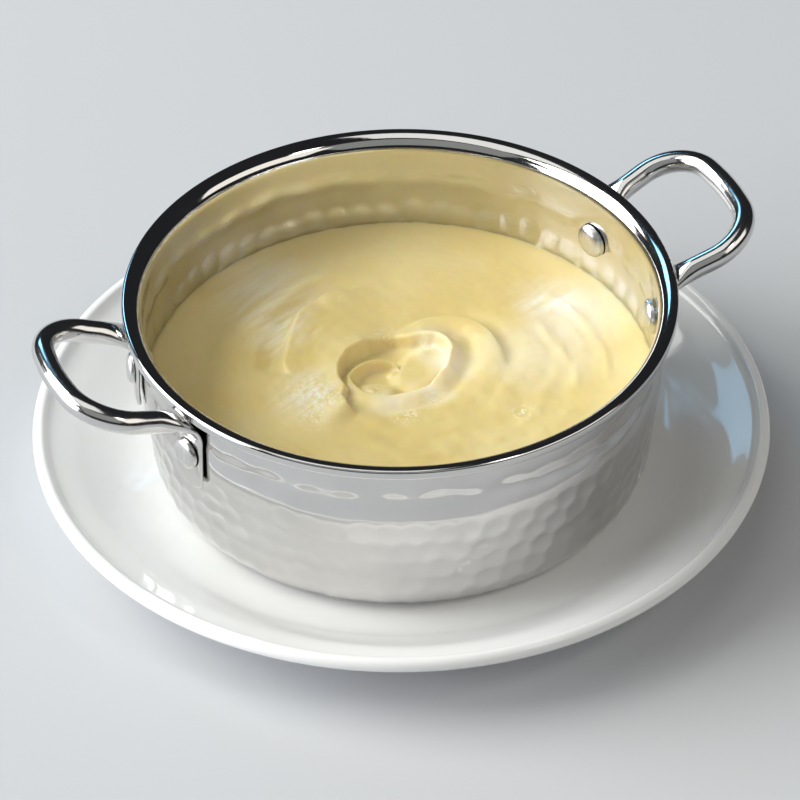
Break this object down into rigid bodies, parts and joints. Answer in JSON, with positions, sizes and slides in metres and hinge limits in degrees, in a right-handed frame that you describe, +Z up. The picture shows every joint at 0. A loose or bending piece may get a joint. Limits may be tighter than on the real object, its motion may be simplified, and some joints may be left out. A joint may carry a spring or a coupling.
{
  "type": "mashed potato side in a small two-handled pan on a plate",
  "caption": "Smooth buttery mashed potato with a spoon's swirl, in a small hammered steel pan with riveted loop handles, standing on a round white plate.",
  "frame": {"origin": "on the common axis of the plate and the pan, at the height of the surface that the plate stands on", "axes": "+Z up along the axis, +X through one handle and -X through the other, -Y the front"},
  "size_m": [0.2026, 0.2022, 0.0697],
  "materials": {
    "steel": "polished stainless steel, hammered with soft dimples below the lip",
    "porcelain": "white, glossy glaze",
    "potato": "smooth mashed potato, pale yellow, moist"
  },
  "bodies": {
    "root": {"plate": "porcelain", "pan": "steel", "mash": "potato", "handle_left": "steel", "handle_right": "steel", "rivet_left_back": "steel", "rivet_left_front": "steel", "rivet_right_back": "steel", "rivet_right_front": "steel"}
  },
  "joints": []
}
